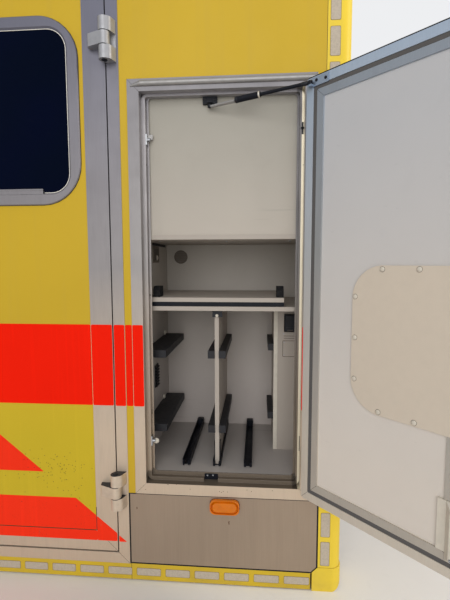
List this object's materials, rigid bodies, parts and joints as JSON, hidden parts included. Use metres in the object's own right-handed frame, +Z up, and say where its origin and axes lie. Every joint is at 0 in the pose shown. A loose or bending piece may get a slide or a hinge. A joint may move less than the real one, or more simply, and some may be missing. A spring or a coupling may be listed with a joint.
{
  "type": "ambulance box body side wall section with entry door and equipment locker",
  "caption": "Side wall section of an ambulance box body: windowed entry door, open equipment locker with a gas strut, aluminium frames, skirt and sill rail.",
  "frame": {"origin": "centre of the four sill bolt holes, on the inner face of the mounting strip", "axes": "+X towards the front of the vehicle along the wall, +Y into the vehicle, +Z up"},
  "size_m": [1.9483, 0.9937, 2.337],
  "materials": {
    "yellow_paint": "gloss",
    "yellow_rail": "gloss",
    "yellow_corner": "gloss",
    "silver_profile": "satin anodised",
    "bare_aluminium": "brushed, dusty",
    "orange_lens": "moulded",
    "white_board": "satin",
    "light_plastic": "moulded",
    "black_metal": "satin",
    "black_rubber": "matt",
    "black_plastic": "moulded",
    "zinc_steel": "zinc plated",
    "silver_hinge": "cast and polished",
    "dark_glass": "tinted",
    "cream_plastic": "satin"
  },
  "bodies": {
    "wall": {"side_wall": "yellow_paint", "bottom_rail": "yellow_rail", "lower_corner": "yellow_corner", "front_corner_post": "yellow_corner", "upper_corner": "yellow_corner", "top_rail": "yellow_rail", "rear_joint_profile": "silver_profile", "entry_jamb": "silver_profile", "locker_frame": "silver_profile", "drip_rail": "silver_profile", "skirt_panel": "bare_aluminium", "side_marker_lamp": "orange_lens", "locker_side_walls": "white_board", "locker_floor": "white_board", "locker_roof": "white_board", "locker_back": "white_board", "vent": "light_plastic", "upper_cover": "white_board", "locker_shelves": "white_board", "tray": "white_board", "tray_slides": "black_metal", "tray_clamps": "black_rubber", "floor_channels": "black_metal", "divider": "white_board", "side_guides": "black_rubber", "service_box": "white_board", "control_unit": "black_plastic", "striker_pins": "zinc_steel", "strike_plate": "black_metal", "jamb_hinges": "silver_hinge", "frame_hinges": "silver_hinge", "strut_frame_bracket": "black_metal"},
    "locker_door": {"locker_door_frame": "silver_profile", "locker_door_seal": "black_rubber", "locker_door_panel": "white_board", "locker_cover_plate": "cream_plastic", "locker_lock_gear": "zinc_steel", "locker_door_handle": "black_plastic", "locker_door_hinges": "silver_hinge", "strut_door_bracket": "zinc_steel"},
    "entry_door": {"entry_door_frame": "silver_profile", "entry_door_panel": "yellow_paint", "entry_window_frame": "silver_profile", "entry_window_glass": "dark_glass", "entry_door_hinges": "silver_hinge", "entry_door_handle": "black_plastic"},
    "strut_cylinder": {"strut_cylinder": "black_metal"},
    "strut_rod": {"strut_rod": "zinc_steel"}
  },
  "joints": [
    {"name": "locker_door_hinge", "type": "hinge", "parent": "wall", "child": "locker_door", "pos_m": [0.7125, -0.067, 1], "axis": [0, 0, 1], "range_deg": [-134, 0]},
    {"name": "entry_door_hinge", "type": "hinge", "parent": "wall", "child": "entry_door", "pos_m": [0.0295, -0.076, 1], "axis": [0, 0, 1], "range_deg": [0, 90]},
    {"name": "strut_swing", "type": "hinge", "parent": "locker_door", "child": "strut_cylinder", "pos_m": [0.70571, -0.13195, 1.72775], "axis": [0, 0, 1], "range_deg": [0, 153.27]},
    {"name": "strut_stroke", "type": "slide", "parent": "strut_cylinder", "child": "strut_rod", "axis": [-0.9409, 0.3342, -0.0543], "range_m": [-0.05536, 0]}
  ],
  "couplings": [
    {"joint": "strut_swing", "follows": "locker_door_hinge", "ratio": -1.143},
    {"joint": "strut_stroke", "follows": "locker_door_hinge", "m_per_rad": 0.023628}
  ]
}
